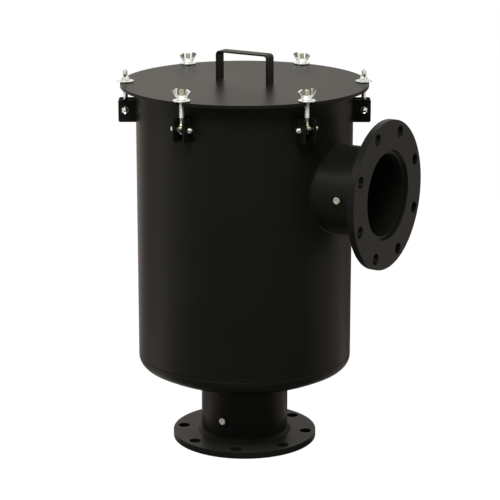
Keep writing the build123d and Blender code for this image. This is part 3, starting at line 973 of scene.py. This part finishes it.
endCapSettings = {
    "lowerOpening": 101.3 * mm,
    "upperOpening": 6.55 * mm,
    "sheet": 1.5 * mm,
    "bend": 3 * mm,  # the radius between its flat and its rim
    "innerBend": 3.4 * mm,
    "bendCorner": 0.9 * mm,
    "bead": 2.2 * mm,
    "beadInset": 20 * mm,
    "beadCrown": (2 * mm, 2.2 * mm),  # half the bead's width at its crown, below and above the sheet
    "beadFoot": (6 * mm, 6.2 * mm),
    "sides": 96,
}


def makeEndCap(name, nodeName, opening, upward):
    # pressed sheet: a turned rim, a stiffening bead near it, and an opening in the middle
    settings = endCapSettings
    low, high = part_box(nodeName)
    outer, rim, sheet = high.x, high.z - low.z, settings["sheet"]
    bend, innerBend, corner = settings["bend"], settings["innerBend"], settings["bendCorner"]
    bead, middle = settings["bead"], outer - settings["beadInset"]
    crown, overCrown = settings["beadCrown"]
    foot, overFoot = settings["beadFoot"]
    under = [(opening, 0), (middle - foot, 0), (middle - crown, bead), (middle + crown, bead)]
    under += [(middle + foot, 0), (outer - bend, 0), (outer - corner, corner), (outer, bend), (outer, rim)]
    over = [(outer - sheet, rim), (outer - sheet, innerBend), (outer - innerBend, sheet)]
    over += [(middle + overFoot, sheet), (middle + overCrown, bead + sheet)]
    over += [(middle - overCrown, bead + sheet), (middle - overFoot, sheet), (opening, sheet)]
    bm = ring([*under, *over], settings["sides"])
    if upward:
        place(bm, moved(0, 0, low.z))
    else:
        place(bm, moved(0, 0, high.z) @ Matrix.Diagonal((1, 1, -1, 1)))
    finishPiece(bm, name, "vessel", galvanised, [nodeName], sharpAngle=50)


makePleats()
makeCage("outerCage", "outer_cage", elementSettings["outerColumns"])
makeCage("innerCage", "inner_cage", elementSettings["innerColumns"])
makeEndCap("lowerEndCap", "lower_end_cap", endCapSettings["lowerOpening"], True)
makeEndCap("upperEndCap", "upper_end_cap", endCapSettings["upperOpening"], False)
print("element made")


# Tie rod, its nuts and what holds the element down

tieRodSettings = {
    "radius": 6.35 * mm,
    "shank": 6.2 * mm,
    "pitch": 25.4 / 13 * mm,
    "threadDepth": 1.0 * mm,
    "tipChamfer": 1.0 * mm,
    "ringsPerPitch": 6,
    "sides": 20,
    "threadLength": 76 * mm,
    "nutHeight": 9 * mm,
    "nutBore": 6.45 * mm,
    "holdNutScale": 1.3,  # the hold-down nut is a clamp's wing nut drawn larger
}


def makeTieRod():
    low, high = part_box("tie_rod")
    half = (high.z - low.z) / 2
    bm = bmesh.new()
    for halfTurn in (0, 180):
        end = threadedRod(tieRodSettings, 0, half - tieRodSettings["threadLength"], half)
        join(bm, end, moved(0, 0, low.z + half) @ turned(halfTurn, "X"))
    finishPiece(bm, "tieRod", "vessel", zinc, ["tie_rod"])


def makeTieRodNuts():
    low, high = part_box("tie_rod_nuts")
    height, bore = tieRodSettings["nutHeight"], tieRodSettings["nutBore"]
    bm = bmesh.new()
    for base in (low.z, high.z - height):
        join(bm, hexNut(high.y - low.y, height, bore), moved(0, 0, base) @ turned(30, "Z"))
    finishPiece(bm, "tieRodNuts", "vessel", zinc, ["tie_rod_nuts"], sharpAngle=28)


makeTieRod()
makeTieRodNuts()
holdSeat = Vector((0, 0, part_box("hold_down_nut")[0].z))
holdBore, holdScale = tieRodSettings["nutBore"], tieRodSettings["holdNutScale"]
makeWingNut("holdDownNut", "hold_down_nut", "hold_nut", holdBore, holdSeat, 0, holdScale)
for nodeName in ("lid_gasket", "element_gasket", "hold_down_washer"):
    softenEdges(dress(nodeName, rubber), 0.8 * mm, 3)
print("tie rod and hold-down made")


# Welds under the coat

weldSettings = {
    "bead": 1.8 * mm,
    "ripplePitch": 2.8 * mm,
    "smallBead": 1.7 * mm,
    "smallRipplePitch": 2.0 * mm,
    "fineBead": 0.7 * mm,
    "saddleOut": 0.4 * mm,  # from the pipe's surface out to the middle of the bead
    "underHeadOut": 1.0 * mm,
    "bossShare": 0.7,  # of the small bead, for what is welded round the pipes
    "bossRadius": 11.2 * mm,
    "lugAside": 13.1 * mm,  # from the middle of a clamp to the beads outside its lugs
    "lugOut": 0.3 * mm,
    "lugInset": 1.5 * mm,
    "footWidth": 3.2 * mm,
    "footInset": 1 * mm,
}


def makeWelds():
    settings = weldSettings
    bead, pitch = settings["bead"], settings["ripplePitch"]
    small, smallPitch, fine = settings["smallBead"], settings["smallRipplePitch"], settings["fineBead"]

    def onShell(point):
        # from a ring about Z to one about the inlet pipe, pressed onto the shell
        return Vector((point.z + sqrt(shellRadius**2 - point.x**2), point.x, inletHeight + point.y))

    def onPipe(centre):
        def seat(point):
            out = sqrt(pipeRadius**2 - point.x**2) + point.z
            return Vector((centre.x + point.x, -out, centre.z + point.y))

        return seat

    around = small * settings["bossShare"]
    saddle = weldRing(pipeRadius + settings["saddleOut"], around, pitch, onShell)
    underHead = weldRing(pipeRadius + settings["underHeadOut"], bead, pitch)
    plugs = (outletPlug, inletPlug)
    bosses = [weldRing(settings["bossRadius"], around, smallPitch, onPipe(plug)) for plug in plugs]
    parts = [saddle, place(underHead, moved(0, 0, headLow.z)), *bosses]
    outletBack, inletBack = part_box("outlet_flange")[1].z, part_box("inlet_flange")[0].x
    onInlet = moved(inletBack, 0, inletHeight) @ turned(90, "Y")
    parts += [place(weldRing(pipeRadius, fine, smallPitch), at) for at in (moved(0, 0, outletBack), onInlet)]
    finishPiece(joined(*parts), "vesselWelds", "vessel", coat, sharpAngle=180)
    lugLow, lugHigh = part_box("clamp_lugs")
    out, inset = shellRadius + settings["lugOut"], settings["lugInset"]
    lugs = bmesh.new()
    for side in (1, -1):
        aside = side * settings["lugAside"]
        ends = (out, aside, lugLow.z + inset), (out, aside, lugHigh.z - inset)
        join(lugs, weldBar(*ends, small, smallPitch))
    finishPiece(copiesAbout(lugs, clampAngles), "lugWelds", "vessel", coat, sharpAngle=180)
    handleLow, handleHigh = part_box("lid_handle")
    inset = settings["footInset"]
    feet = bmesh.new()
    for side in (1, -1):
        for inwards in (0, settings["footWidth"]):
            x = side * (handleHigh.x - inwards)
            ends = (x, handleLow.y + inset, lidHigh.z), (x, handleHigh.y - inset, lidHigh.z)
            join(feet, weldBar(*ends, fine, smallPitch))
    finishPiece(feet, "handleWelds", "lid", coat, sharpAngle=180)


makeWelds()
print("welds made")


# Stage: a pale floor, soft light, and grey cards round the set that only reflections see

stageSettings = {
    "floorRadius": 14.0,
    "floorSides": 96,
    "floorGap": 0.05 * mm,
    "floorShare": 0.20,  # how much of the floor's white is lit rather than plain
    "floorWhite": 1.23,
    "floorGrey": 0.32,
    "plainFrom": (0.128, 0.139),  # under the foot flange the floor is lit only
    "ambient": 0.40,
    "key": 104.0,
    "keySize": 1.1,
    "keyFrom": (24, 51, 3.2),  # degrees round from the front, degrees up, metres
    "keyAim": 0.4,  # metres up the vessel
    "bounce": 1.0,
    "bounceUnder": (1, 4),  # the clamps at the sides
    "bounceFrom": (0.46, 0, 2 * mm),  # out from the vessel's axis, and up
    "bounceSize": (0.42, 0.44),  # outwards, and across
    "bounceSpread": 58,
}
cardSettings = {
    # (radius, height): out along the floor, up as a wall, and in again as a canopy over the vessel
    "outline": [(0.140, 0.0004), (2.9, 0.0004), (3.1, 0.1), (3.2, 0.3), (3.2, 2.45), (2.75, 3.6),
                (2.3, 3.9), (0, 4.2)],
    "tints": [(1.0, 0.885, 0.82), (1.0, 0.935, 0.86)],
    # degrees round from the camera's side, to the right, and how bright the cards are there
    "low": [
        (-180, 0.63), (-160, 0.99), (-150, 1.06), (-143, 0.84), (-137, 0.61), (-127, 0.42), (-118, 0.34),
        (-108, 0.64), (-97, 1.33), (-88, 1.30), (-79, 1.0), (-68, 0.52), (-54, 0.40), (-40, 0.20),
        (44, 0.20), (54, 0.14), (64, 0.13), (72, 0.25), (80, 0.66), (107, 0.50), (114, 0.64),
        (120, 0.82), (127, 0.32), (138, 0.13), (144, 0.14), (150, 0.19), (160, 0.28), (180, 0.5),
    ],
    "high": [
        (-180, 0.86), (-168, 1.06), (-120, 0.86), (-80, 0.7), (80, 0.7), (120, 0.8), (168, 0.80), (180, 0.86),
    ],
    "canopy": [
        (-180, 1.4), (-120, 1.2), (-100, 0.5), (-66, 0.5), (-58, 4.6), (-18, 4.6), (-10, 1.5), (60, 1.5),
        (100, 1.5), (180, 1.4),
    ],
    "zenith": [(-180, 0.6), (180, 0.6)],
    "highFrom": (0.45, 1.05),  # metres up the cards where one row of shades gives way to the next
    "canopyFrom": (2.3, 2.55),
    "zenithFrom": (3.55, 3.8),
    # the floor under the vessel is in its shade, and darkest right beside the foot flange
    "shadeReach": (0.40, 0.75),
    "shade": (0.86, 1.0),
    "contactReach": (0.148, 0.188),
    "contact": (0.5, 1.0),
    "sides": 72,
}


def whiteRays(tree):
    # what the camera, mirrors and glass see of the backdrop
    kinds = ("Camera", "Glossy", "Transmission")
    camera, mirror, glass = (tree.node("ShaderNodeLightPath", output=f"Is {kind} Ray") for kind in kinds)
    return (camera + mirror + glass).atMost(1)


def stagePiece(bm, name, build):
    mesh = bpy.data.meshes.new(name)
    bm.to_mesh(mesh)
    bm.free()
    made = bpy.data.objects.new(name, mesh)
    bpy.context.scene.collection.objects.link(made)
    material, tree, coords = newFinish(name + "Finish")
    tree.node("ShaderNodeOutputMaterial", {}, {"Surface": build(tree, coords)})
    mesh.materials.append(material)
    return made


def makeFloor(settings):
    bm = bmesh.new()
    sides, radius = settings["floorSides"], settings["floorRadius"]
    bmesh.ops.create_circle(bm, cap_ends=True, segments=sides, radius=radius)
    place(bm, moved(0, 0, cadLow.z - settings["floorGap"]))

    def paleFloor(tree, coords):
        # lit grey mixed with plain white, but no plain white where the vessel stands on it
        grey, white = settings["floorGrey"], settings["floorWhite"]
        lit = tree.node("ShaderNodeBsdfDiffuse", {}, {"Color": (grey, grey, grey, 1)})
        plain = tree.node("ShaderNodeEmission", {}, {"Color": (1, 1, 1, 1), "Strength": white})
        clear = mapped(lengthOf(coords), settings["plainFrom"])
        share = whiteRays(tree) * clear * (1 - settings["floorShare"])
        return tree.node("ShaderNodeMixShader", {}, {0: share, 1: lit, 2: plain})

    stagePiece(bm, "floor", paleFloor)


def makeCards(settings):
    bm = bmesh.new()
    verts = [bm.verts.new((x, 0, z)) for x, z in settings["outline"]]
    for pair in zip(verts, verts[1:]):
        bm.edges.new(pair)
    spun(bm, settings["sides"])

    def softly(value, reach, shades=(0, 1)):
        return mapped(value, settings[reach], shades, "SMOOTHSTEP")

    def greyCards(tree, coords):
        sockets = {"Vector": coords, "Rotation": (0, 0, radians(90 - cameraSettings["azimuth"]))}
        fromCamera = tree.node("ShaderNodeMapping", {"vector_type": "POINT"}, sockets)
        x, y, z = fromCamera.parts()
        around = x.sum("ARCTAN2", y, x) * (0.5 / pi) + 0.5
        bright = None
        for name in ("low", "high", "canopy", "zenith"):
            stops = [((angle + 180) / 360, shade) for angle, shade in settings[name]]
            row = tree.node("ShaderNodeValToRGB", {"stops": stops}, {0: around})
            if bright is None:
                bright = row
            else:
                rise = softly(z, name + "From")
                bright = tree.node("ShaderNodeMix", {"data_type": "FLOAT"}, {0: rise, 2: bright, 3: row})
        away = lengthOf(fromCamera)
        bright = bright * softly(away, "shadeReach", settings["shade"])
        bright = bright * softly(away, "contactReach", settings["contact"])
        tint = blend(tree, softly(z, "highFrom"), *settings["tints"])
        return tree.node("ShaderNodeEmission", {}, {"Color": tint, "Strength": bright})

    cards = stagePiece(bm, "greyCards", greyCards)
    for rays in ("camera", "diffuse", "transmission", "volume_scatter", "shadow"):
        setattr(cards, "visible_" + rays, False)


def areaLamp(name, power, location, facing):
    lamp = bpy.data.lights.new(name, "AREA")
    lamp.energy = power
    holder = bpy.data.objects.new(name, lamp)
    holder.location = location
    holder.rotation_mode = "QUATERNION"
    holder.rotation_quaternion = facing
    bpy.context.scene.collection.objects.link(holder)
    return lamp, holder


def makeKey(settings):
    azimuth, elevation, distance = settings["keyFrom"]
    way = direction(azimuth, elevation)
    at = Vector((0, 0, settings["keyAim"])) + distance * way
    lamp, holder = areaLamp("keySoftbox", settings["key"], at, way.to_track_quat("Z", "Y"))
    lamp.size = settings["keySize"]
    holder.visible_glossy = False


def makeBounce(settings):
    # a soft lamp on the floor under each side clamp, too narrow to reach much else
    for k in settings["bounceUnder"]:
        toClamp = Matrix.Rotation(clampAngles[k - 1], 4, "Z")
        at, facing = toClamp @ Vector(settings["bounceFrom"]), toClamp @ turned(180, "X")
        lamp, holder = areaLamp("clampBounce", settings["bounce"], at, facing.to_quaternion())
        lamp.shape = "RECTANGLE"
        lamp.size, lamp.size_y = settings["bounceSize"]
        lamp.spread = radians(settings["bounceSpread"])
        holder.visible_camera = False


def makeWorld(settings):
    world = bpy.data.worlds.new("studio")
    world.use_nodes = True
    world.node_tree.nodes.clear()
    bpy.context.scene.world = world
    tree = Wire(world.node_tree)
    seen = whiteRays(tree)
    strength = seen + (1 - seen) * settings["ambient"]
    light = tree.node("ShaderNodeBackground", {}, {"Color": (1, 1, 1, 1), "Strength": strength})
    tree.node("ShaderNodeOutputWorld", {}, {"Surface": light})


makeFloor(stageSettings)
makeCards(cardSettings)
makeKey(stageSettings)
makeBounce(stageSettings)
makeWorld(stageSettings)
bpy.context.scene.view_settings.view_transform = "Standard"
print("stage set")
